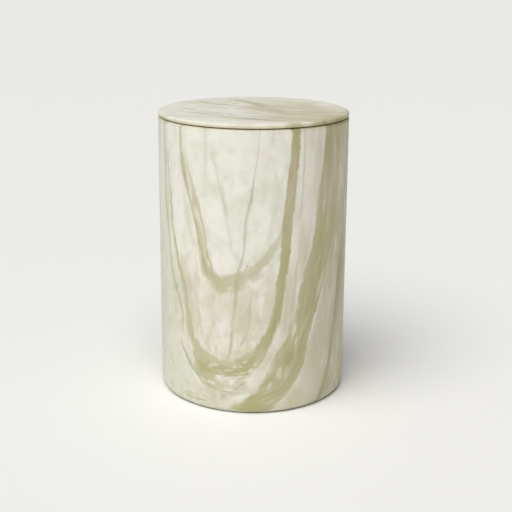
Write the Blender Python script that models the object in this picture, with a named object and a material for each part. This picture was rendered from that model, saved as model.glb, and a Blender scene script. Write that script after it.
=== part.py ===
"""A straight round urn with a flat lift-off lid, both turned from banded stone.

Metres, +Z up. The origin is the centre of the underside, and the axis of the turning is Z.
Each piece is a half profile turned about Z: the profile starts on the axis, runs over the top and
down the outer side, and ends on the axis again.
"""

import math

import bmesh
import bpy

# The body's outside
BODY_HEIGHT = 0.2360
FOOT_RADIUS = 0.0800  # just above the rounded foot edge
RIM_RADIUS = 0.0793  # just below the rounded rim, a little slimmer than the foot
FOOT_EDGE = 0.0060  # radius of the rounding round the underside
RIM_EDGE = 0.0030  # radius of the rounding outside the rim

# The body's inside
RIM_WALL = 0.0090  # the wall at the rim; the bore is straight
FLOOR = 0.0120
MOUTH_EDGE = 0.0010  # radius of the rounding inside the rim
FLOOR_FILLET = 0.0060  # radius between the bore and the floor

# The lid: a thin lip that lies on the rim, and a register that drops into the bore
LIP_INSET = 0.0001  # how far the lip's edge stays inside the rim's
LIP_THICKNESS = 0.0034
LIP_TOP_EDGE = 0.0018  # radius of the rounding above
LIP_LOWER_EDGE = 0.0014  # radius of the rounding below
REGISTER_DEPTH = 0.0080
REGISTER_CLEARANCE = 0.0006  # on each side, between the register and the bore
REGISTER_CHAMFER = 0.0010
SEAT_GAP = 0.0003  # between the rim and the lip that rests on it

# Faceting
SIDES = 96
EDGE_STEPS = 5  # steps in each quarter circle that shows
INNER_STEPS = 3  # steps in the small rounding inside the rim
SHARP_ANGLE = math.radians(35)
AXIS_MERGE = 1e-6  # joins the copies of a point that lies on the axis

STONE = {"colour": (0.72, 0.71, 0.58, 1.0), "roughness": 0.34, "metallic": 0.0}
LID_STONE = {"colour": (0.70, 0.68, 0.57, 1.0), "roughness": 0.34, "metallic": 0.0}


def arc(centre, radius, start, end, steps):
    """Points (r, z) along a circle from one angle to another, in degrees, with both ends."""
    points = []
    for step in range(steps + 1):
        angle = math.radians(start + (end - start) * step / steps)
        points.append((centre[0] + radius * math.cos(angle), centre[1] + radius * math.sin(angle)))
    return points


def body_profile():
    """From the middle of the floor inside, up the bore, over the rim, and down the outside."""
    bore = RIM_RADIUS - RIM_WALL
    profile = [(0.0, FLOOR)]
    profile += arc((bore - FLOOR_FILLET, FLOOR + FLOOR_FILLET), FLOOR_FILLET, -90, 0, EDGE_STEPS)
    profile += arc((bore + MOUTH_EDGE, BODY_HEIGHT - MOUTH_EDGE), MOUTH_EDGE, 180, 90, INNER_STEPS)
    profile += arc((RIM_RADIUS - RIM_EDGE, BODY_HEIGHT - RIM_EDGE), RIM_EDGE, 90, 0, EDGE_STEPS)
    profile += arc((FOOT_RADIUS - FOOT_EDGE, FOOT_EDGE), FOOT_EDGE, 0, -90, EDGE_STEPS)
    profile.append((0.0, 0.0))
    return profile


def lid_profile():
    """From the middle of the top, round the lip, and down the register. Height 0 is under the lip."""
    lip = RIM_RADIUS - LIP_INSET
    register = RIM_RADIUS - RIM_WALL - REGISTER_CLEARANCE
    profile = [(0.0, LIP_THICKNESS)]
    profile += arc((lip - LIP_TOP_EDGE, LIP_THICKNESS - LIP_TOP_EDGE), LIP_TOP_EDGE, 90, 0, EDGE_STEPS)
    profile += arc((lip - LIP_LOWER_EDGE, LIP_LOWER_EDGE), LIP_LOWER_EDGE, 0, -90, EDGE_STEPS)
    profile.append((register, 0.0))
    profile.append((register, REGISTER_CHAMFER - REGISTER_DEPTH))
    profile.append((register - REGISTER_CHAMFER, -REGISTER_DEPTH))
    profile.append((0.0, -REGISTER_DEPTH))
    return profile


def stone(name, finish):
    """A plain material in one of the stone's finishes."""
    material = bpy.data.materials.new(name)
    material.use_nodes = True
    shader = material.node_tree.nodes["Principled BSDF"]
    shader.inputs["Base Color"].default_value = finish["colour"]
    shader.inputs["Roughness"].default_value = finish["roughness"]
    shader.inputs["Metallic"].default_value = finish["metallic"]
    return material


def turned(name, profile, material):
    """An object made by turning a half profile about its own Z axis."""
    mesh = bpy.data.meshes.new(name)
    bm = bmesh.new()
    points = [bm.verts.new((radius, 0.0, height)) for radius, height in profile]
    edges = [bm.edges.new(pair) for pair in zip(points, points[1:])]
    bmesh.ops.spin(bm, geom=points + edges, cent=(0, 0, 0), axis=(0, 0, 1), angle=math.tau,
                   steps=SIDES, use_merge=True)
    bmesh.ops.remove_doubles(bm, verts=bm.verts, dist=AXIS_MERGE)
    bmesh.ops.recalc_face_normals(bm, faces=bm.faces)
    bm.to_mesh(mesh)
    bm.free()
    mesh.shade_smooth()
    mesh.set_sharp_from_angle(angle=SHARP_ANGLE)
    mesh.materials.append(material)
    piece = bpy.data.objects.new(name, mesh)
    bpy.context.scene.collection.objects.link(piece)
    return piece


def build():
    """The urn: the body stands at the origin, and the lid rests on its rim."""
    for old in list(bpy.data.objects):
        bpy.data.objects.remove(old, do_unlink=True)
    urn = bpy.data.objects.new("urn", None)
    bpy.context.scene.collection.objects.link(urn)
    body = turned("body", body_profile(), stone("stone", STONE))
    body.parent = urn
    lid = turned("lid", lid_profile(), stone("lid_stone", LID_STONE))
    lid.parent = body
    lid.location = (0.0, 0.0, BODY_HEIGHT + SEAT_GAP)
    bpy.context.view_layer.update()


build()
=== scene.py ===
import math

import bpy
from mathutils import Euler, Matrix, Vector, noise


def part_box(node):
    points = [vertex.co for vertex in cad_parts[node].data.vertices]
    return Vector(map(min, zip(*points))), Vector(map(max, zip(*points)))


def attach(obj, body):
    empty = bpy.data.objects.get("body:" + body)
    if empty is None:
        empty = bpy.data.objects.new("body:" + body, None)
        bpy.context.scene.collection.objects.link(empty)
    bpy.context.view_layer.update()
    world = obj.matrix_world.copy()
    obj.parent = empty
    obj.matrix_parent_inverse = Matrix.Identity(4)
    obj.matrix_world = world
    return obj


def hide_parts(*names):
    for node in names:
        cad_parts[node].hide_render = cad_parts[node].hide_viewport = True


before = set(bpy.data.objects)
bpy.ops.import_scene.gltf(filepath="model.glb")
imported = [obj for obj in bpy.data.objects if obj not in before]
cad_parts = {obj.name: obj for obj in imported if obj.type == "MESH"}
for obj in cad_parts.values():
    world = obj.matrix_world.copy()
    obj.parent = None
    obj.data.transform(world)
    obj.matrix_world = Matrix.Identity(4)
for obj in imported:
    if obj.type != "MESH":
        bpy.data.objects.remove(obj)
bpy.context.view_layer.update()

mm = 0.001  # settings are in millimetres and degrees; meshes and lights are in metres

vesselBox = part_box("body")
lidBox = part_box("lid")
footRadius = vesselBox[1].x / mm
vesselHeight = vesselBox[1].z / mm
lidRadius = lidBox[1].x / mm
lidTop = lidBox[1].z / mm
registerFoot = lidBox[0].z / mm


# Camera: in front of the urn and a little above it
cameraSettings = {
    "distance": 840.3,  # from the urn's axis
    "height": 362.9,
    "pitchDown": 16.6,
    "roll": 0.315,
    "lens": 71.1,  # on a sensor 36 mm wide
    "shift": 0.0062,
}


def makeCamera(settings):
    data = bpy.data.cameras.new("camera")
    data.lens = settings["lens"]
    data.shift_x = settings["shift"]
    camera = bpy.data.objects.new("camera", data)
    bpy.context.scene.collection.objects.link(camera)
    place = Matrix.Translation((0, -settings["distance"] * mm, settings["height"] * mm))
    look = Matrix.Rotation(math.radians(90 - settings["pitchDown"]), 4, "X")
    roll = Matrix.Rotation(math.radians(settings["roll"]), 4, "Z")
    camera.matrix_world = place @ look @ roll
    bpy.context.scene.camera = camera


# Studio: a pale floor, a dim even surround and one large soft light up on the left
studioSettings = {
    "floorSize": 60.0,  # metres
    "floorColour": (0.82, 0.82, 0.81, 1),
    "floorRoughness": 0.9,
    "surround": (1.0, 1.0, 1.0, 1),
    "surroundStrength": 0.16,  # as it lights the urn
    "surroundSeen": 0.8,  # as the camera sees it, about as pale as the floor
    "keyAngle": -27.0,  # round the urn from the front, plus to the right
    "keyRise": 63.0,  # above the floor
    "keySoftness": 55.0,
    "keyStrength": 3.1,
    "keyColour": (1.0, 0.99, 0.97),
}


def makeStudio(settings):
    scene = bpy.context.scene
    scene.view_settings.view_transform = "Standard"
    scene.view_settings.look = "None"
    world = bpy.data.worlds.new("surround")
    world.use_nodes = True
    tree = world.node_tree
    tree.nodes.remove(tree.nodes["Background"])
    lit, seen = [addNode(tree, "ShaderNodeBackground", {},
                         {"Color": settings["surround"], "Strength": settings[strength]})
                 for strength in ("surroundStrength", "surroundSeen")]
    seenDirectly = addNode(tree, "ShaderNodeLightPath", {}, {})
    both = addNode(tree, "ShaderNodeMixShader", {}, {0: seenDirectly, 1: lit, 2: seen})
    tree.links.new(both.socket, tree.nodes["World Output"].inputs["Surface"])
    scene.world = world

    half = settings["floorSize"] / 2
    mesh = bpy.data.meshes.new("floor")
    mesh.from_pydata([(-half, -half, 0), (half, -half, 0), (half, half, 0), (-half, half, 0)], [],
                     [(0, 1, 2, 3)])
    floor = bpy.data.objects.new("floor", mesh)
    scene.collection.objects.link(floor)
    paint = bpy.data.materials.new("floorPaint")
    paint.use_nodes = True
    shader = paint.node_tree.nodes["Principled BSDF"]
    shader.inputs["Base Color"].default_value = settings["floorColour"]
    shader.inputs["Roughness"].default_value = settings["floorRoughness"]
    mesh.materials.append(paint)

    lamp = bpy.data.lights.new("key", "SUN")
    lamp.angle = math.radians(settings["keySoftness"])
    lamp.energy = settings["keyStrength"]
    lamp.color = settings["keyColour"]
    key = bpy.data.objects.new("key", lamp)
    scene.collection.objects.link(key)
    around = math.radians(settings["keyAngle"])
    rise = math.radians(settings["keyRise"])
    toLamp = Vector((math.sin(around) * math.cos(rise), -math.cos(around) * math.cos(rise),
                     math.sin(rise)))
    key.location = toLamp
    key.rotation_euler = toLamp.to_track_quat("Z", "Y").to_euler()


# Shader maths: a Wire is a socket, and an expression on Wires adds the Math nodes
class Wire:
    def __init__(self, tree, socket):
        self.tree = tree
        self.socket = socket

    def maths(self, operation, *values):
        return addNode(self.tree, "ShaderNodeMath", {"operation": operation}, dict(enumerate(values)))

    def __add__(self, other):
        return self.maths("ADD", self, other)

    def __radd__(self, other):
        return self.maths("ADD", other, self)

    def __sub__(self, other):
        return self.maths("SUBTRACT", self, other)

    def __rsub__(self, other):
        return self.maths("SUBTRACT", other, self)

    def __mul__(self, other):
        return self.maths("MULTIPLY", self, other)

    def __rmul__(self, other):
        return self.maths("MULTIPLY", other, self)

    def __truediv__(self, other):
        return self.maths("DIVIDE", self, other)

    def __abs__(self):
        return self.maths("ABSOLUTE", self)


def addNode(tree, kind, settings, values, output=0):
    # Settings are set first; values fill sockets by place or name, with numbers or with Wires
    node = tree.nodes.new(kind)
    for name, value in settings.items():
        if name == "curve":
            setCurve(node.mapping, value)
        else:
            setattr(node, name, value)
    for name, value in values.items():
        socket = node.inputs[name]
        if isinstance(value, Wire):
            tree.links.new(value.socket, socket)
        else:
            socket.default_value = value
    return Wire(tree, node.outputs[output])


def setCurve(mapping, points):
    curve = mapping.curves[0]
    while len(curve.points) < len(points):
        curve.points.new(0.5, 0.5)
    for point, place in zip(curve.points, points):
        point.location = place
        point.handle_type = "AUTO_CLAMPED"
    mapping.update()


def smooth(value, low, high, top=1.0):
    # 0 at low and top at high, level beyond both
    return addNode(value.tree, "ShaderNodeMapRange", {"interpolation_type": "SMOOTHSTEP"},
                   {"Value": value, "From Min": low, "From Max": high, "To Max": top})


def blend(tree, share, first, second):
    # Colours mixed by a share from 0, all first, to 1, all second; 6 and 7 are the colour sockets
    return addNode(tree, "ShaderNodeMix", {"data_type": "RGBA"}, {0: share, 6: first, 7: second}, 2)


def tinge(tree, share, colour, tint):
    # A colour multiplied by a tint, by a share
    return addNode(tree, "ShaderNodeMix", {"data_type": "RGBA", "blend_type": "MULTIPLY"},
                   {0: share, 6: colour, 7: tint}, 2)


# The stone: an ivory ground with clouds, and nearly upright sheets of olive mineral in it
stoneSettings = {
    "radius": 80.0,  # the wall that the angles are read on
    "tall": 240.0,
    "ivory": (0.885, 0.875, 0.775, 1),
    # painted shade: the ground's colour low down, darker towards the bottom
    "shadedLowIvory": (0.76, 0.735, 0.61, 1),
    "greenIvory": (0.72, 0.73, 0.60, 1),
    "roseIvory": (0.80, 0.75, 0.64, 1),
    "greyIvory": (0.68, 0.68, 0.57, 1),
    "white": (0.90, 0.89, 0.83, 1),
    "sand": (0.60, 0.56, 0.39, 1),
    "darkSand": (0.49, 0.45, 0.275, 1),
    "moss": (0.60, 0.60, 0.41, 1),
    "olive": (0.46, 0.43, 0.21, 1),
    "tan": (0.53, 0.465, 0.30, 1),
    "greenOlive": (0.45, 0.46, 0.25, 1),
    "deepOlive": (0.32, 0.29, 0.145, 1),
    "grey": (0.43, 0.42, 0.33, 1),
    "oliveGrey": (0.46, 0.45, 0.31, 1),
    "rose": (0.66, 0.56, 0.42, 1),
    # How much more of a vein is tan than olive, by height
    "tanByHeight": [(0, -0.2), (60, -0.3), (150, -0.4), (172, 0.0), (190, 0.25), (212, 0.35),
                    (224, -0.4), (240, -0.5)],
    "armBlend": 12,  # how wide the foot of a sheet passes from its left arm to its right one
    "veinLean": 60.0,  # between a fine vein's plane and the wall, so that it goes well into the stone
    "veinReach": (48, 64),  # from the axis: where a fine vein starts and where it is full
    "markDepth": 12,
    "markFade": (1.1, 0.35),  # where a brush mark starts and where it is full, as shares of its reach
    "roughness": 0.4,
    "relief": 0.12,
    "reliefStrength": 0.5,
}

# Changes of the ground's tint: where each one starts and where it is full
groundSettings = {
    # painted shade: darker towards the bottom, up to where the ivory is full
    "lowShadeHeight": (10, 170),
    "darkSandHeight": (60, 150),
    "cloudyHeight": (160, 70),
    "rightSide": (-8, 36),
    "behindMain": (-1, 7, 0.6),  # behind a sheet, and how strong
    "behindBroad": (2, 12, 0.95),
    "cloudFull": 0.4,  # the noise at which a cloud is full
}

# Clouds in the ground: tint, size, how much longer upwards, detail, seed, the noise at which they start,
# strength, and whether they are fewer towards the top
underCloud = ("white", 5, 3.0, 2, 33.0, 0.05, 1.0, True)
groundClouds = [
    ("greenIvory", 16, 2.4, 2, 5.0, -0.1, 0.4, False),
    ("roseIvory", 14, 2.5, 2, 8.0, -0.05, 0.4, False),
    ("moss", 7, 1.8, 2, 21.0, 0.0, 1.0, True),
    ("sand", 9, 1.4, 3, 27.0, 0.0, 1.0, True),
]

# The joint of lid and rim is painted dark as painted shade, with warm painted shade beside it, and the
# rounded edges beside it are darkened with painted shade and duller
jointSettings = {
    "height": 236.2,
    "width": 0.45,
    "soft": 0.15,
    "from": (74, 76),  # from the axis: where it starts and where it is full
    # painted shade in the joint
    "seamShadeColour": (0.06, 0.05, 0.025, 1),
    # painted shade beside the joint, warm: a yellowish darkening and where it reaches
    "tinge": (0.97, 0.92, 0.78, 1),
    "warmShadeReach": (3, 0.8),
    # painted shade on the rounded edges, and where it lies; they are also made duller
    "edgeShadeTint": (0.88, 0.88, 0.86, 1),
    "shadedEdgeFrom": (75.5, 77.8),  # from the axis
    "shadedEdgeAbove": (231.5, 234.5),
    "edgeRoughness": 0.3,
}

# The sheets are a little bent. Each is read where it meets the wall: a height, the angles of its left
# and its right arm (0 is the front, plus is to the right) and their thicknesses. Below its foot, given
# by height, angle and slope, a sheet has left the stone. The strength is for the left and for the right
# arm, soft is the width of its edges, streaky is how much the streaks change it, and ragged is how far
# the coarse, the middle and the small waves move it.
sheets = {
    "main": {
        "foot": (35.5, -17, 1.2),
        "points": [(38, -25.6, -8.4, 4.6, 4.6), (43, -29.4, -3.4, 5.6, 5.8), (49, -32.4, 1.4, 4.8, 5.6),
                   (53, -34.6, 4.0, 3.4, 4.6), (58, -36.8, 6.6, 2.8, 4.0), (64, -39, 9.0, 2.6, 3.8),
                   (80, -41.3, 13.8, 2.6, 3.6), (100, -43.5, 16.4, 2.4, 3.6),
                   (110, -45.5, 17.4, 2.0, 3.8), (120, -48.6, 18, 1.8, 4.0), (135, -52, 19.2, 1.8, 4.6),
                   (155, -56, 20.5, 1.5, 5.0), (170, -57, 21.5, 1.8, 5.4), (185, -58, 22.4, 1.8, 5.6),
                   (200, -59.8, 23.5, 1.4, 5.8), (220, -60.6, 24.8, 0.6, 5.0),
                   (240, -61, 25.4, 0.6, 4.4)],
        "strength": (0.7, 0.97),
        "soft": 0.5,
        "streaky": 0.3,
        "ragged": (0.3, 0.6, 0.5),
    },
    "inner": {
        "foot": (108, -15, 0.5),
        "points": [(111, -20.5, -10, 2.6, 2.6), (115, -24.5, -6, 2.2, 2.6),
                   (120, -28.2, -1.5, 2.0, 3.4), (125, -29.5, 3, 1.8, 3.2), (130, -30.5, 7, 1.7, 3.0),
                   (140, -32, 12, 1.7, 2.4), (150, -33.3, 16, 1.5, 1.4), (160, -35.5, 18.5, 1.4, 1.2),
                   (180, -40.5, 21, 1.4, 1), (192, -43, 22, 2.2, 0.8), (205, -45.5, 23, 2.0, 0.8),
                   (220, -46.8, 24, 1.4, 0.8), (240, -47, 24.5, 1.4, 0.8)],
        "strength": (0.66, 0.5),
        "soft": 0.6,
        "streaky": 0.6,
        "ragged": (0.2, 0.4, 0.3),
    },
    "broad": {
        "foot": (3, -5.5, 0.6),
        "points": [(10, -22, 6, -3, 9), (20, -31, 16, -3, 10.5), (30, -37, 19.5, -2.5, 12.5),
                   (40, -42, 23, -2, 14.5), (50, -44, 25, -1.5, 15.5), (60, -45, 27.5, -0.5, 13),
                   (70, -46, 30.5, 0.8, 11.5), (80, -47, 33, 1.4, 12), (90, -48.6, 35, 2.2, 14),
                   (100, -52.3, 36.8, 2.6, 15.5), (112, -55.5, 39.3, 2.0, 17), (120, -57, 41, 1.9, 18),
                   (140, -59.3, 45.5, 1.9, 18.5), (160, -62.3, 48.5, 2.6, 21),
                   (180, -63.2, 50.3, 3.6, 21), (200, -63.8, 52.3, 4.4, 19.5),
                   (220, -64.4, 54.3, 4.6, 18.5), (240, -64.8, 55, 4.6, 18.5)],
        "strength": (0.65, 0.9),
        "soft": 0.8,
        "streaky": 0.7,
        "ragged": (0.5, 0.9, 0.5),
    },
    "edge": {
        "foot": (-60, -9, 0.5),
        "points": [(0, -67, 43, 1.5, 3), (8, -68, 45.5, 1.5, 4), (20, -70.5, 50, 1.5, 4),
                   (35, -72, 54, 1.5, 4), (60, -76, 58, 1.5, 4), (75, -79, 61, 2, 5),
                   (90, -82, 63, 3, 8), (115, -84, 65, 3, 8), (150, -87, 69, 3, 5),
                   (190, -90, 72, 3, 4), (240, -93, 75, 3, 4)],
        "strength": (0.3, 0.9),
        "soft": 1.1,
        "streaky": 0.6,
        "ragged": (0.6, 0.7, 0.5),
    },
}

# Farther sheets, seen at the sides and behind: how far behind the broad one, thickness, strength
farSoft = 1.4
farSheets = [(52, 3, 0.45), (63, 6, 0.7), (79, 2.5, 0.5), (90, 8, 0.75), (103, 2, 0.4), (112, 4, 0.6),
             (124, 9, 0.8), (137, 3, 0.5), (150, 6, 0.65)]

# Fine veins that cross the wall once and die out inside: (height, angle, width), with no width at an end
lines = {
    "centre": {
        "points": [(240, 4.3, 0.8), (215, 3, 1.0), (200, 1, 1.1), (190, -0.2, 1.6), (175, -2, 1.8),
                   (160, -4, 2.0), (145, -5, 1.6), (132, -6.2, 1.6), (120, -8, 2.4), (108, -9.3, 2.6),
                   (95, -10.2, 2.0), (80, -11, 2.4), (65, -12, 2.8), (53, -13.6, 2.4), (44, -16, 0)],
        "strength": 0.6, "soft": 0.7, "colour": "oliveGrey",
    },
    "second": {
        "points": [(108, 0, 0), (98, -1, 1.6), (85, -1.2, 2.4), (78, -2, 2.2), (70, -3.2, 2.4),
                   (63, -5.4, 2.2), (56, -8, 0)],
        "strength": 0.56, "soft": 0.6, "colour": "oliveGrey",
    },
    "faint": {
        "points": [(222, -23.5, 0), (210, -23, 2.0), (195, -20, 1.8), (187, -18, 2.0), (178, -16, 2.0),
                   (160, -14, 1.6), (145, -12.3, 1.8), (130, -11, 0)],
        "strength": 0.28, "soft": 1.1, "colour": "grey",
    },
    "fainter": {
        "points": [(260, -27.5, 2.5), (236, -27.5, 2.5), (215, -27.5, 2.5), (190, -28, 0)],
        "strength": 0.2, "soft": 1.0, "colour": "grey",
    },
    "innerTwin": {
        "points": [(212, -41, 0), (203, -39.5, 1.2), (190, -37, 1.8), (180, -34.8, 3.5),
                   (168, -31.6, 1.8), (160, -30, 1.3), (150, -28.5, 1.5), (142, -27, 1.2),
                   (132, -25.5, 1.8), (122, -24, 2.4), (114, -22, 0)],
        "strength": 0.6, "soft": 0.55, "colour": "tan",
    },
    "innerVeil": {
        "points": [(228, -46, 0), (214, -43.5, 5), (204, -43, 8), (190, -40, 6), (175, -35.5, 6),
                   (160, -33, 5), (145, -29.5, 6), (130, -28, 6), (115, -25, 5), (105, -21, 0)],
        "strength": 0.42, "soft": 2.0, "colour": "moss",
    },
    "leftInner": {
        "points": [(128, -36.5, 0), (118, -36, 1.6), (105, -35.5, 2.4), (95, -35, 1.8),
                   (85, -33.5, 1.4), (75, -32, 1.8), (66, -29.5, 0)],
        "strength": 0.36, "soft": 0.7, "colour": "tan",
    },
    "borderRight": {
        "points": [(260, 46.8, 2.8), (236, 46.8, 2.8), (215, 46.2, 2.6), (205, 45.4, 1.8),
                   (190, 43, 0)],
        "strength": 0.6, "soft": 0.7, "colour": "deepOlive",
    },
    "rightFine": {
        "points": [(160, 29.5, 0), (140, 28.5, 1.4), (120, 25.8, 2.6), (105, 25.2, 2.4), (90, 24, 3.4),
                   (75, 22.5, 2.4), (62, 21, 2.6), (55, 18, 0)],
        "strength": 0.5, "soft": 0.9, "colour": "greenOlive",
    },
    "greyRight": {
        "points": [(240, 30.5, 0.8), (222, 30.5, 1.4), (205, 30, 1.6), (185, 28.6, 1.4), (170, 28.2, 1),
                   (150, 27, 0)],
        "strength": 0.4, "soft": 0.7, "colour": "grey",
    },
    "rightStreak": {
        "points": [(190, 37, 0), (170, 36.2, 1.6), (155, 35, 2), (140, 33, 2), (125, 30, 0)],
        "strength": 0.4, "soft": 1.0, "colour": "moss",
    },
    "lowLeft": {
        "points": [(60, -48, 0), (54, -47, 1.8), (48, -45, 2.8), (40, -41.5, 3.2), (32, -37, 3.2),
                   (26, -32.5, 3.4), (22, -28.5, 3.6), (19, -23, 3.4), (16, -16, 0)],
        "strength": 0.7, "soft": 0.5, "colour": "oliveGrey",
    },
    "farRight": {
        "points": [(190, 57.5, 0), (175, 57, 1.2), (160, 56.5, 1.8), (145, 55.5, 1.2), (130, 53, 0)],
        "strength": 0.45, "soft": 0.7, "colour": "greenOlive",
    },
}

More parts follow.
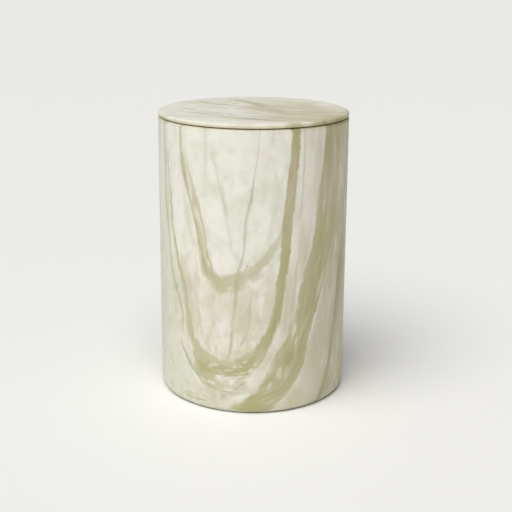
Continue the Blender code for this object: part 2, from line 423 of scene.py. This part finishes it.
# Brush marks on the wall, later ones over earlier ones: tint, angle, height, reach across and up, lean
# to the right, strength
wallMarks = [
    ("moss", -5, 84, 16, 36, 0, 0.3), ("sand", 5, 52, 10, 10, -30, 0.4),
    ("moss", -37, 88, 5, 34, -8, 0.5), ("greyIvory", -75, 90, 14, 34, 0, 0.6),
    ("moss", -45, 120, 7, 12, 0, 0.45), ("moss", -60, 172, 2.5, 20, -4, 0.55),
    ("sand", -46, 92, 5, 12, -18, 0.55), ("roseIvory", -53, 55, 9, 26, 0, 0.6),
    ("rose", -40, 108, 4.5, 9, -10, 0.5), ("grey", -52, 101, 3.2, 4, -30, 0.45),
    ("rose", -35, 177, 3.5, 6, -15, 0.6), ("moss", -42, 9, 12, 2.2, 0, 0.6),
    ("olive", -31, 8.5, 8, 1.8, 8, 0.45), ("greyIvory", -65, 70, 9, 20, 0, 0.5),
    ("ivory", -34, 27, 4, 12, -50, 0.6), ("olive", -29, 37, 8, 8, -25, 0.75),
    ("olive", -19, 38.5, 10, 5, 0, 0.8), ("olive", -9, 38, 9, 5.5, -18, 0.65),
    ("moss", -16, 45, 16, 3.5, 0, 0.55), ("olive", -2, 49, 9, 5.5, -30, 0.55),
    ("ivory", -22, 41.5, 3, 1.2, 0, 0.5), ("olive", -24.5, 28, 2.5, 5, 20, 0.5),
    ("ivory", -16, 30.5, 9, 2.0, 8, 0.5), ("tan", -19, 26, 10, 1.4, 12, 0.6),
    ("grey", -12, 18.5, 7, 1.3, -14, 0.6), ("grey", -17, 15.5, 4, 1.6, 10, 0.45),
    ("rose", -7, 27.5, 7, 1.8, -16, 0.35), ("olive", -5, 31.5, 8, 1.8, -22, 0.6),
    ("white", 1, 28, 6, 7, 35, 0.35), ("white", -4, 47.5, 2.6, 1.1, -16, 0.5),
    ("white", -6.5, 42.7, 2.6, 1.3, -22, 0.4), ("ivory", 0.5, 63.5, 1.6, 1.2, 0, 0.6),
    ("white", -8, 14, 9, 3.5, -20, 0.5), ("olive", 0, 6, 19, 7, -4, 0.8),
    ("deepOlive", -10, 3.5, 7, 1.2, -6, 0.4), ("roseIvory", 18, 84, 2.2, 20, 8, 0.7),
    ("roseIvory", 10.5, 54, 2.2, 14, 30, 0.7), ("moss", 21.5, 98, 5, 36, 6, 0.6),
    ("ivory", 25, 71, 2.0, 7, 10, 0.6), ("ivory", 26.5, 62, 1.2, 4, 10, 0.4),
    ("sand", 16, 34, 4.5, 10, 10, 0.5), ("sand", 12.5, 25, 3.0, 6, 20, 0.45),
    ("sand", 21, 33, 2.0, 8, 15, 0.5), ("deepOlive", 22, 48, 7, 8, 20, 0.3),
    ("ivory", 27.5, 103, 0.9, 12, 6, 0.6), ("roseIvory", 26, 24, 3.5, 12, 35, 0.5),
    ("roseIvory", 44, 108, 3, 16, 20, 0.5), ("greyIvory", 35, 25, 12, 18, 0, 0.5),
    ("deepOlive", 63, 102, 4.5, 20, 5, 0.4), ("deepOlive", 46, 8, 5, 8, 15, 0.35),
    ("white", 28, 200, 1.6, 40, 2, 0.5), ("roseIvory", 40, 222, 4, 18, 0, 0.5),
    ("roseIvory", 28, 145, 5, 22, 5, 0.6), ("greyIvory", 12, 170, 3, 30, 8, 0.35),
    ("grey", -9.5, 112, 3, 6, 0, 0.35), ("tan", -7, 116, 4, 7, 15, 0.4),
    ("olive", -18, 113, 11, 5, 0, 0.15), ("deepOlive", -3, 128, 1.0, 1.2, 0, 0.6),
    ("grey", -14.5, 28, 0.8, 0.8, 0, 0.4), ("deepOlive", -32.3, 143, 1.2, 8, -8, 0.35),
    ("deepOlive", -43, 196, 1.4, 8, -12, 0.35), ("olive", -33, 36, 7, 9, -30, 0.7),
    ("olive", -26, 31, 7, 5, 0, 0.6), ("sand", -11, 42, 8, 4, -10, 0.5),
    ("ivory", -1, 39, 4, 2, -35, 0.5), ("greyIvory", 2, 44, 3, 5, 30, 0.4),
    ("roseIvory", -5, 36, 5, 1.5, -20, 0.5), ("darkSand", 70, 115, 12, 70, 0, 0.6),
    ("darkSand", 61, 70, 11, 40, 10, 0.6), ("darkSand", 52, 18, 16, 18, 0, 0.55),
    ("darkSand", 51, 215, 6, 40, 0, 0.5), ("deepOlive", 49, 222, 6, 30, 0, 0.3),
    ("sand", 9.5, 95, 6, 32, 8, 0.45), ("sand", 30, 140, 6, 28, 0, 0.45),
    ("sand", -8, 52, 12, 7, 0, 0.45), ("moss", -29, 51, 6, 9, 0, 0.1), ("moss", -2, 55, 8, 6, -40, 0.5),
    ("sand", -13, 24, 26, 9, 0, 0.45), ("ivory", -66, 225, 9, 26, 0, 0.5),
    ("sand", 26, 14, 12, 8, 0, 0.3), ("olive", -37, 8.5, 14, 1.5, 0, 0.5),
    ("tan", -26, 23, 9, 1.6, 22, 0.6), ("tan", -46, 110, 5, 14, -10, 0.4),
    ("sand", -42, 75, 6, 16, -10, 0.4), ("olive", -7, 4.5, 10, 3.5, 10, 0.6),
    ("oliveGrey", -34, 30, 1.8, 12, -42, 0.7), ("oliveGrey", -25, 22, 9.5, 1.7, 18, 0.7),
    ("oliveGrey", -15, 20.3, 8, 1.6, -3, 0.6), ("tan", -29, 27, 7, 1.6, 38, 0.6),
    ("tan", -21, 24, 8, 1.4, 14, 0.55), ("sand", -22, 41, 6, 2.6, 20, 0.6),
    ("tan", -14, 38, 9, 3, -10, 0.45), ("ivory", -22, 40.5, 2.5, 1.3, -20, 0.5),
    ("greyIvory", -8, 35, 8, 1.5, -20, 0.4), ("rose", -11, 42, 7, 2, -15, 0.4),
    ("moss", -30, 44, 5, 7, -20, 0.15), ("oliveGrey", -17, 15, 1.4, 5, 8, 0.45),
    ("olive", -40, 12, 11, 1.4, -8, 0.4), ("olive", -28, 11.5, 7, 1.4, 22, 0.4),
    ("grey", -6, 27, 7, 1.2, -30, 0.5), ("olive", -3, 35, 6, 2, -25, 0.6),
    ("white", -12, 28, 5, 1.2, -15, 0.7), ("white", -20, 30, 4, 1.1, 10, 0.6),
    ("tan", -14, 32, 8, 1.3, -8, 0.55), ("oliveGrey", -27, 28, 6, 1.1, 35, 0.6),
    ("white", -25, 26, 5, 1.0, 25, 0.6), ("grey", -9, 23, 7, 1.2, -12, 0.5),
    ("white", -2, 30, 5, 4, 40, 0.35), ("white", -14, 22, 7, 1.2, -5, 0.5),
    ("oliveGrey", 1, 24, 6, 1.1, -38, 0.4), ("deepOlive", 24, 34, 4, 13, 28, 0.3),
    ("ivory", 16, 37, 3, 7, 12, 0.35), ("deepOlive", 55, 42, 2, 24, 10, 0.4),
    ("deepOlive", 60, 80, 3, 20, 8, 0.4), ("deepOlive", 66, 114, 5, 22, 6, 0.35),
    ("deepOlive", 13, 80, 2, 22, 12, 0.25), ("white", -17, 70, 5, 14, -4, 0.25),
    ("sand", -22, 93, 14, 20, 0, 0.35), ("tan", -14, 118, 7, 2.5, -10, 0.35),
    ("greenOlive", -21, 110, 5, 4, -20, 0.2), ("ivory", 2, 112, 5, 2.2, -30, 0.4),
    ("deepOlive", -34, 152, 0.9, 14, -9, 0.4), ("deepOlive", -29.5, 128, 0.9, 10, -12, 0.35),
    ("olive", -26.5, 134, 1.0, 12, -14, 0.4), ("tan", -31, 166, 1.2, 10, -14, 0.4),
    ("sand", -30, 146, 3, 18, -12, 0.3), ("ivory", -13, 109, 3, 2, -10, 0.3),
    ("greyIvory", -47, 95, 1.6, 9, -10, 0.45), ("ivory", -44.5, 84, 1.4, 6, -8, 0.4),
    ("sand", 4, 50, 3, 6, 30, 0.35), ("oliveGrey", 2, 121, 9, 6, -20, 0.4),
    ("moss", 11, 142, 5, 8, 30, 0.35), ("sand", -41, 165, 5, 20, -10, 0.3),
    ("ivory", -71, 185, 10, 50, 0, 0.35), ("oliveGrey", -72, 82, 9, 18, 0, 0.15),
    ("sand", 40, 205, 5, 45, 4, 0.4), ("olive", 40.5, 170, 3, 22, 6, 0.4),
    ("deepOlive", 70, 118, 8, 34, 2, 0.3), ("deepOlive", 50, 16, 6, 16, 8, 0.2),
    ("deepOlive", 16, 24, 9, 9, 20, 0.12), ("sand", 10, 50, 3.5, 10, 25, 0.5),
    ("sand", 19, 80, 4, 20, 8, 0.35), ("oliveGrey", -9.8, 100, 1.4, 12, 4, 0.4),
    ("oliveGrey", -1.5, 86, 1.3, 13, 2, 0.4), ("tan", -15, 174, 2, 8, -6, 0.3),
    ("oliveGrey", -12.5, 64, 1.3, 12, 8, 0.4), ("tan", -17, 188, 1.6, 12, -8, 0.25),
    ("sand", -36, 54, 2.5, 8, -28, 0.4), ("greenOlive", 8, 30, 3, 9, 20, 0.4),
    ("deepOlive", 64, 95, 7, 32, 4, 0.3), ("olive", 54.5, 45, 2.5, 30, 8, 0.5),
    ("sand", 33, 120, 9, 50, 12, 0.3), ("grey", -63.7, 222, 4, 30, 0, 0.3),
    ("sand", -41, 108, 8, 11, 0, 0.5), ("tan", -44, 104, 4, 7, 0, 0.35),
    ("sand", -40, 88, 6, 15, -8, 0.4), ("white", -49, 168, 8, 32, -4, 0.6),
    ("tan", -36, 178, 3, 10, -16, 0.3), ("sand", -6, 92, 15, 26, 0, 0.35),
    ("sand", -24, 15, 26, 12, 0, 0.35), ("white", -10, 232, 30, 14, 0, 0.45),
    ("greyIvory", -76, 90, 12, 60, 0, 0.5), ("moss", -5, 80, 13, 14, 0, 0.25),
    ("deepOlive", 72, 122, 6, 30, 0, 0.2), ("white", -31, 203, 6, 16, 0, 0.4),
    ("white", -60, 224, 4, 16, 0, 0.4), ("sand", -12, 46, 10, 5, 0, 0.2),
    ("sand", 19, 82, 4, 12, 6, 0.25), ("tan", -24, 38, 6, 5, 0, 0.3), ("tan", -14, 40, 6, 4, 0, 0.3),
    ("ivory", -25, 39.5, 4, 2.2, -25, 0.35), ("ivory", -14, 37, 5, 1.8, -5, 0.3),
    ("greyIvory", -19, 35.5, 5, 1.6, 12, 0.4), ("ivory", 1.5, 44.5, 2, 1.5, -30, 0.35),
    ("greyIvory", 20.5, 37, 2.2, 7, 10, 0.35), ("ivory", 10.5, 26, 2, 5, 15, 0.35),
    ("ivory", -10.5, 41, 2.6, 1.8, -10, 0.35), ("sand", 9, 14, 5, 8, 10, 0.15),
]

# Brush marks on the lid, seen from above: tint, right, back, reach along and across, lean, strength
lidMarkDepth = 30
lidMarks = [
    ("sand", 38, 0, 45, 62, 20, 0.6), ("tan", 10, 20, 42, 9, -62, 0.35),
    ("sand", 38, -48, 46, 16, -14, 0.6), ("greyIvory", 0, 55, 60, 22, 0, 0.3),
    ("greyIvory", -45, -40, 26, 12, -10, 0.35), ("sand", 14, -52, 46, 20, -10, 0.5),
    ("tan", 52, -22, 24, 24, 0, 0.3), ("moss", 28, -26, 9, 22, 6, 0.4),
    ("moss", 44, 26, 8, 26, -14, 0.4), ("moss", 4, 15, 7, 16, 10, 0.5),
    ("rose", 19, -8, 8, 16, 10, 0.4), ("sand", -2, -20, 14, 9, -30, 0.35),
    ("sand", 0, 2, 20, 14, -40, 0.35), ("ivory", -36, -66, 42, 9, -4, 0.7),
    ("ivory", -42, -52, 30, 9, -10, 0.5), ("white", 62, 30, 14, 14, 0, 0.4),
    ("sand", 24, 44, 26, 3, -24, 0.35), ("olive", -42, 40, 12, 4, -52, 0.5),
    ("moss", -52, 38, 16, 6, -42, 0.5), ("grey", -26, 26, 20, 4.5, -32, 0.6),
    ("grey", -6, 14, 16, 3.5, -42, 0.45), ("tan", 6, -2, 22, 3.5, -50, 0.5),
    ("grey", -8, 46, 26, 7, -62, 0.4), ("tan", 4, 24, 22, 7, -68, 0.45),
    ("grey", 18, -8, 18, 4, -52, 0.4), ("grey", -34, 12, 26, 3, -20, 0.4),
    ("tan", -52, -3, 14, 3, -50, 0.45), ("tan", -32, -21, 20, 2.6, -30, 0.5),
    ("grey", -12, -35, 16, 2.6, -42, 0.45), ("grey", -46, -22, 18, 3, -34, 0.6),
    ("tan", -24, -38, 22, 3.2, -36, 0.5), ("grey", 2, -53, 26, 4, -22, 0.6),
    ("tan", 18, -60, 26, 3, -14, 0.45), ("grey", 52, -14, 30, 4, -6, 0.4),
    ("tan", 40, -30, 28, 2.4, -14, 0.45), ("tan", 30, 12, 34, 2.6, -32, 0.45),
    ("ivory", 30, -2, 30, 2.2, -26, 0.5), ("ivory", 44, -40, 24, 2.4, -12, 0.5),
    ("white", -12, -24, 22, 3.2, -36, 0.8), ("white", -22, -6, 20, 4, -24, 0.6),
    ("white", -6, -41, 22, 2.8, -28, 0.75), ("ivory", -62, 14, 14, 7, -10, 0.5),
    ("olive", 33, -74, 11, 7, -8, 0.6), ("olive", 65, -40, 12, 15, -30, 0.45),
    ("tan", 50, -62, 16, 6, -38, 0.45), ("tan", 74, -20, 6, 40, -14, 0.5),
    ("deepOlive", 55, -57, 2.5, 7, 0, 0.6), ("deepOlive", 67, -45, 3, 5, 0, 0.5),
    ("olive", 62, -48, 26, 7, 48, 0.45), ("tan", 54, -42, 28, 12, 42, 0.3),
    ("grey", -20, 36, 16, 3, -30, 0.35), ("tan", 22, -22, 20, 6, -34, 0.3),
    ("sand", -14, 50, 18, 8, -50, 0.35),
]


# The lowest and the highest value that a curve can give
angleRange = (-180, 180)
depthRange = (0, 200)
sheetHalfRange = (-5, 15)
veinHalfRange = (-5, 10)
tintRange = (-1, 1)


def readCurve(share, points, valueRange):
    # A value that changes with height; points are (height, value)
    tall = stoneSettings["tall"]
    low, high = valueRange
    places = sorted((height / tall, (value - low) / (high - low)) for height, value in points)
    curve = addNode(share.tree, "ShaderNodeFloatCurve", {"curve": places}, {"Value": share})
    return curve * (high - low) + low


def makeStone(name, isVessel, marks):
    # The vessel has the sheets and the fine veins; both pieces have brush marks
    material = bpy.data.materials.new(name)
    material.use_nodes = True
    tree = material.node_tree
    shader = tree.nodes["Principled BSDF"]
    stone = stoneSettings
    ground = groundSettings
    joint = jointSettings
    radius = stone["radius"]

    def vector(operation, values, output=0):
        return addNode(tree, "ShaderNodeVectorMath", {"operation": operation}, values, output)

    def join(*values):
        return addNode(tree, "ShaderNodeCombineXYZ", {}, dict(enumerate(values)))

    def parts(place):
        return [addNode(tree, "ShaderNodeSeparateXYZ", {}, {0: place}, axis) for axis in range(3)]

    spot = vector("SCALE", {0: addNode(tree, "ShaderNodeTexCoord", {}, {}, 3), "Scale": 1 / mm})
    across, deep, height = parts(spot)
    share = height / stone["tall"]

    def noiseAt(place, detail):
        values = {"Vector": place, "Scale": 1.0, "Detail": detail, "Roughness": 0.55}
        return addNode(tree, "ShaderNodeTexNoise", {}, values) * 2 - 1

    def cloud(size, stretch, detail, seed):
        # Soft noise about 0, with blobs of about this many millimetres, drawn out upwards
        scale = (1 / size, 1 / size, 1 / (size * stretch))
        return noiseAt(vector("MULTIPLY_ADD", {0: spot, 1: scale, 2: (seed, seed * 0.7, -seed)}), detail)

    coarse = cloud(45, 1.5, 1, 3.1)
    middle = cloud(13, 1.8, 2, 7.7)
    small = cloud(3.5, 2, 2, 1.3)
    softening = cloud(20, 2, 1, 6.6) * 0.9 + 1.1

    def within(distance, half, soft):
        # 1 inside, 0 outside, with an edge that is sharper in some places than in others
        edge = softening * soft
        return smooth(half - distance, edge * -1, edge)

    def turnedAxes(share, angles, across, deep):
        # How far a place is along the direction of an angle that changes with height, and aside from it
        turn = readCurve(share, angles, angleRange) * math.radians(1)
        sine = turn.maths("SINE", turn)
        cosine = turn.maths("COSINE", turn)
        return across * sine - deep * cosine, across * cosine + deep * sine

    def sheetFields(sheet):
        # How far a place is behind the sheet, on which arm it is, and the sheet's half thickness
        footHeight, footAngle, slope = sheet["foot"]
        middles, depths, lefts, rights = [], [], [], []
        for level, left, right, leftThickness, rightThickness in sheet["points"]:
            middles.append((level, (left + right) / 2))
            depths.append((level, radius * math.cos(math.radians(right - left) / 2)))
            lefts.append((level, leftThickness / 2))
            rights.append((level, rightThickness / 2))
        if footHeight > 0:
            middles += [(footHeight, footAngle), (0, footAngle)]
            depths += [(footHeight, radius), (0, radius + slope * footHeight)]
        outward, along = turnedAxes(share, middles, across, deep)
        behind = readCurve(share, depths, depthRange) - outward
        for amount, wave in zip(sheet["ragged"], (coarse, middle, small)):
            behind = behind + wave * (amount * 2)
        right = smooth(along, -stone["armBlend"], stone["armBlend"])
        leftHalf = readCurve(share, lefts, sheetHalfRange)
        half = (readCurve(share, rights, sheetHalfRange) - leftHalf) * right + leftHalf
        return behind, right, half

    # The lid has no sheets of its own, but its streaks follow the main and the broad one
    usedSheets = sheets if isVessel else ("main", "broad")
    fields = {key: sheetFields(sheets[key]) for key in usedSheets}
    behindMain = fields["main"][0]
    behindBroad = fields["broad"][0]
    flowDepth = behindMain + behindBroad

    def streaks(size, length, seed):
        # Noise drawn out along the sheets
        return noiseAt(join(flowDepth / (size * 2), (across + deep) / length, height / length + seed), 2.0)

    fine = streaks(1.4, 24, 4.0)
    wide = streaks(5.0, 40, 9.0)
    pale = streaks(3.0, 30, 15.0)

    # The fine veins and the brush marks are drawn in a place that is shaken a little
    shake = join(middle * 1.6 + small + fine * 0.5, middle * 1.2 - small * 0.8,
                 middle * 3 + small * 2 + wide * 3)
    shaken = vector("ADD", {0: spot, 1: shake})
    shakenAcross, shakenDeep, shakenHeight = parts(shaken)
    shakenShare = shakenHeight / stone["tall"]

    def sheetMask(sheet, behind, right, half):
        leftStrength, rightStrength = sheet["strength"]
        strength = right * (rightStrength - leftStrength) + leftStrength
        return within(abs(behind), half, sheet["soft"]) * (strength * (pale * sheet["streaky"] + 1))

    def lineMask(line):
        lean = stone["veinLean"]
        soft = line["soft"]
        angles = [(level, angle - lean) for level, angle, width in line["points"]]
        halves = [(level, width / 2 if width else -2 * soft) for level, angle, width in line["points"]]
        outward, along = turnedAxes(shakenShare, angles, shakenAcross, shakenDeep)
        aside = abs(outward - radius * math.cos(math.radians(lean)))
        shown = smooth(along, *stone["veinReach"], line["strength"]) * (wide * 0.9 + 1)
        return within(aside, readCurve(shakenShare, halves, veinHalfRange), soft) * shown

    def markMask(centre, turn, reach, strength):
        axes = Euler(turn).to_matrix().transposed()
        away = vector("SUBTRACT", {0: shaken, 1: centre})
        local = [vector("DOT_PRODUCT", {0: away, 1: axis / size}, 1) for axis, size in zip(axes, reach)]
        return smooth(vector("LENGTH", {0: join(*local)}, 1), *stone["markFade"], strength)

    def clouded(colour, layer):
        tint, size, stretch, detail, seed, start, strength, isFewerAbove = layer
        cover = smooth(cloud(size, stretch, detail, seed), start, ground["cloudFull"], strength)
        return blend(tree, cover * fewerAbove if isFewerAbove else cover, colour, stone[tint])

    def streaked(colour, layers):
        # Layers are (noise, the noise at which they start and are full, strength, tint)
        for layer, start, full, strength, tint in layers:
            colour = blend(tree, smooth(layer, start, full, strength), colour, stone[tint])
        return colour

    # The ground: ivory in front, greener to the left, sandier to the right and behind
    rightSide = smooth(across + coarse * 10, *ground["rightSide"])
    fewerAbove = smooth(height, *ground["cloudyHeight"], 0.35) + 0.2
    # Painted shade: the ground is darker towards the bottom
    colour = blend(tree, smooth(height, *ground["lowShadeHeight"]), stone["shadedLowIvory"], stone["ivory"])
    colour = clouded(colour, underCloud)
    if isVessel:
        outer = blend(tree, rightSide, stone["greenIvory"], stone["roseIvory"])
        isDarkSand = smooth(height + coarse * 30, *ground["darkSandHeight"])
        farSand = blend(tree, isDarkSand, stone["sand"], stone["darkSand"])
        farther = blend(tree, rightSide, stone["greenIvory"], farSand)
        colour = blend(tree, smooth(behindMain, *ground["behindMain"]), colour, outer)
        colour = blend(tree, smooth(behindBroad, *ground["behindBroad"]), colour, farther)
    for layer in groundClouds:
        colour = clouded(colour, layer)
    colour = streaked(colour, [(wide, 0.0, 0.45, 0.35, "moss"), (pale, 0.05, 0.5, 0.4, "white"),
                               (fine, 0.1, 0.5, 0.16, "grey")])

    if isVessel:
        # The veins' own colour changes along them
        isTan = cloud(18, 1.8, 2, 2.2) + readCurve(share, stone["tanByHeight"], tintRange)
        veinTint = blend(tree, smooth(isTan, -0.25, 0.25), stone["olive"], stone["tan"])
        veinTint = streaked(veinTint, [(wide + middle, 0.05, 0.5, 0.6, "greenOlive"),
                                       (fine, 0.0, 0.5, 0.3, "deepOlive"), (pale, 0.1, 0.5, 0.25, "sand")])
        for line in lines.values():
            colour = blend(tree, lineMask(line), colour, stone[line["colour"]])
        for key in ("broad", "edge", "main", "inner"):
            colour = blend(tree, sheetMask(sheets[key], *fields[key]), colour, veinTint)
        farDepth = behindBroad + coarse * 5 + middle * 3
        for depth, thickness, strength in farSheets:
            veined = within(abs(farDepth - depth), thickness / 2, farSoft) * strength
            colour = blend(tree, veined, colour, veinTint)
    for tint, centre, turn, reach, strength in marks:
        colour = blend(tree, markMask(centre, turn, reach, strength), colour, stone[tint])

    # Painted shade in the joint and on the rounded edges beside it
    fromAxis = vector("LENGTH", {0: join(across, deep)}, 1)
    fromJoint = abs(height - joint["height"])
    isOutside = smooth(fromAxis, *joint["from"])
    isEdge = smooth(fromAxis, *joint["shadedEdgeFrom"]) * smooth(height, *joint["shadedEdgeAbove"])
    # Painted shade: the rounded edges are darkened against the light they catch
    colour = tinge(tree, isEdge, colour, joint["edgeShadeTint"])
    # Warm painted shade beside the joint
    colour = tinge(tree, smooth(fromJoint, *joint["warmShadeReach"]) * isOutside, colour, joint["tinge"])
    # Painted shade in the joint: a thin dark line, stronger to the right
    seam = within(fromJoint, joint["width"] / 2, joint["soft"]) * isOutside
    seamShadeStrength = smooth(across, -60, 60, 0.2) + small * 0.3 + 0.85
    colour = blend(tree, seam * seamShadeStrength, colour, joint["seamShadeColour"])
    tree.links.new(colour.socket, shader.inputs["Base Color"])

    roughness = stone["roughness"] + middle * 0.06 + fine * 0.05 + isEdge * joint["edgeRoughness"]
    tree.links.new(roughness.socket, shader.inputs["Roughness"])
    grain = cloud(1.6, 1.4, 3, 12.0) + fine * 0.5
    relief = addNode(tree, "ShaderNodeBump", {}, {"Height": grain, "Strength": stone["reliefStrength"],
                                                  "Distance": stone["relief"] * mm})
    tree.links.new(relief.socket, shader.inputs["Normal"])
    return material


def onWall(marks):
    # Marks given by angle and height, put at their place on the wall
    radius = stoneSettings["radius"]
    placed = []
    for tint, angle, level, wide, tall, lean, strength in marks:
        turned = math.radians(angle)
        centre = (radius * math.sin(turned), -radius * math.cos(turned), level)
        reach = (wide, stoneSettings["markDepth"], tall)
        placed.append((tint, centre, (0, math.radians(lean), turned), reach, strength))
    return placed


def onLid(marks):
    # Marks given by place on the lid's top, and deep enough to run down over its edge
    placed = []
    for tint, right, back, long, short, lean, strength in marks:
        reach = (long, short, lidMarkDepth)
        placed.append((tint, (right, back, lidTop), (0, 0, math.radians(lean)), reach, strength))
    return placed


# Turned shapes: a half profile from the axis over the top and down the outside to the axis again
onAxis = 1e-6  # a smaller radius is a single point
sharpAngle = 35  # degrees


def arc(centre, radius, start, end, steps):
    points = []
    for step in range(steps + 1):
        angle = math.radians(start + (end - start) * step / steps)
        points.append((centre[0] + radius * math.cos(angle), centre[1] + radius * math.sin(angle)))
    return points


def subdivide(profile, step):
    # Adds points on the long straight stretches
    points = [profile[0]]
    for start, end in zip(profile, profile[1:]):
        pieces = max(1, round(math.dist(start, end) / step))
        for piece in range(1, pieces + 1):
            part = piece / pieces
            points.append((start[0] + (end[0] - start[0]) * part, start[1] + (end[1] - start[1]) * part))
    return points


def turn(name, profile, sides, wear):
    verts = []
    faces = []
    rings = []
    for radius, height in profile:
        if radius < onAxis:
            rings.append([len(verts)] * sides)
            verts.append(Vector((0, 0, height)) * mm)
            continue
        rings.append(list(range(len(verts), len(verts) + sides)))
        for side in range(sides):
            angle = math.tau * side / sides
            spot = Vector((radius * math.cos(angle), radius * math.sin(angle), height))
            verts.append(wear(spot) * mm)
    for upper, lower in zip(rings, rings[1:]):
        for side in range(sides):
            after = (side + 1) % sides
            corners = [upper[side], lower[side], lower[after], upper[after]]
            faces.append(list(dict.fromkeys(corners)))
    mesh = bpy.data.meshes.new(name)
    mesh.from_pydata(verts, [], faces)
    mesh.validate()
    mesh.shade_smooth()
    mesh.set_sharp_from_angle(angle=math.radians(sharpAngle))
    piece = bpy.data.objects.new(name, mesh)
    bpy.context.scene.collection.objects.link(piece)
    return piece


wearSettings = {
    "depth": 0.3,  # at most, and only inwards
    "size": 7.0,
    "reach": 4.0,  # how far in from the edge
    "start": 0.1,  # the noise at which a chip starts
    "growth": 2.0,
    "leastShare": 0.35,  # of the depth, at the two heights
}


def worn(spot, edge, low, high):
    # Small chips along an outer edge between two heights
    settings = wearSettings
    outward = Vector((spot.x, spot.y, 0))
    if outward.length < edge - settings["reach"] or not low <= spot.z <= high:
        return spot
    chip = max(0.0, noise.noise(spot / settings["size"]) - settings["start"]) * settings["growth"]
    middle = 1 - abs(spot.z * 2 - low - high) / (high - low)
    share = max(settings["leastShare"], middle)
    return spot - outward.normalized() * min(chip, 1.0) * settings["depth"] * share


vesselSettings = {
    "rimRadius": 79.3,
    "footEdge": 6.0,
    "rimEdge": 3.0,
    "wall": 9.0,
    "floor": 12.0,
    "mouthEdge": 1.0,
    "floorFillet": 6.0,
    "edgeSteps": 8,  # facets of the foot's and the rim's rounding
    "filletSteps": 6,
    "mouthSteps": 4,
    "rowHeight": 8.0,
    "sides": 480,
}


def makeVessel(settings):
    rim = settings["rimRadius"]
    bore = rim - settings["wall"]
    floor = settings["floor"]
    fillet = settings["floorFillet"]
    mouth = settings["mouthEdge"]
    rimEdge = settings["rimEdge"]
    footEdge = settings["footEdge"]
    profile = [(0, floor)]
    profile += arc((bore - fillet, floor + fillet), fillet, -90, 0, settings["filletSteps"])
    profile += arc((bore + mouth, vesselHeight - mouth), mouth, 180, 90, settings["mouthSteps"])
    profile += arc((rim - rimEdge, vesselHeight - rimEdge), rimEdge, 90, 0, settings["edgeSteps"])
    profile += arc((footRadius - footEdge, footEdge), footEdge, 0, -90, settings["edgeSteps"])
    profile.append((0, 0))
    piece = turn("urnVessel", subdivide(profile, settings["rowHeight"]), settings["sides"],
                 lambda spot: worn(spot, rim, vesselHeight - rimEdge, vesselHeight))
    piece.data.materials.append(makeStone("vesselStone", True, onWall(wallMarks)))
    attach(piece, "root")
    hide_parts("body")
    return piece


lidSettings = {
    "topEdge": 1.8,
    "lowerEdge": 0.8,
    "lip": 3.4,
    "registerInset": 9.5,  # from the lip's edge to the register
    "chamfer": 1.0,
    "topSteps": 6,
    "lowerSteps": 5,
    "rowHeight": 8.0,
    "sides": 480,
}


def makeLid(settings):
    edge = lidRadius
    seat = lidTop - settings["lip"]
    topEdge = settings["topEdge"]
    lowerEdge = settings["lowerEdge"]
    register = edge - settings["registerInset"]
    profile = [(0, lidTop)]
    profile += arc((edge - topEdge, lidTop - topEdge), topEdge, 90, 0, settings["topSteps"])
    profile += arc((edge - lowerEdge, seat + lowerEdge), lowerEdge, 0, -90, settings["lowerSteps"])
    profile.append((register, seat))
    profile.append((register, registerFoot + settings["chamfer"]))
    profile.append((register - settings["chamfer"], registerFoot))
    profile.append((0, registerFoot))
    piece = turn("urnLid", subdivide(profile, settings["rowHeight"]), settings["sides"],
                 lambda spot: worn(spot, edge, seat, lidTop))
    piece.data.materials.append(makeStone("lidStone", False, onLid(lidMarks)))
    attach(piece, "root")
    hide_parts("lid")
    return piece


makeCamera(cameraSettings)
makeStudio(studioSettings)
print("camera and studio made")
makeVessel(vesselSettings)
print("vessel turned")
makeLid(lidSettings)
print("lid turned")
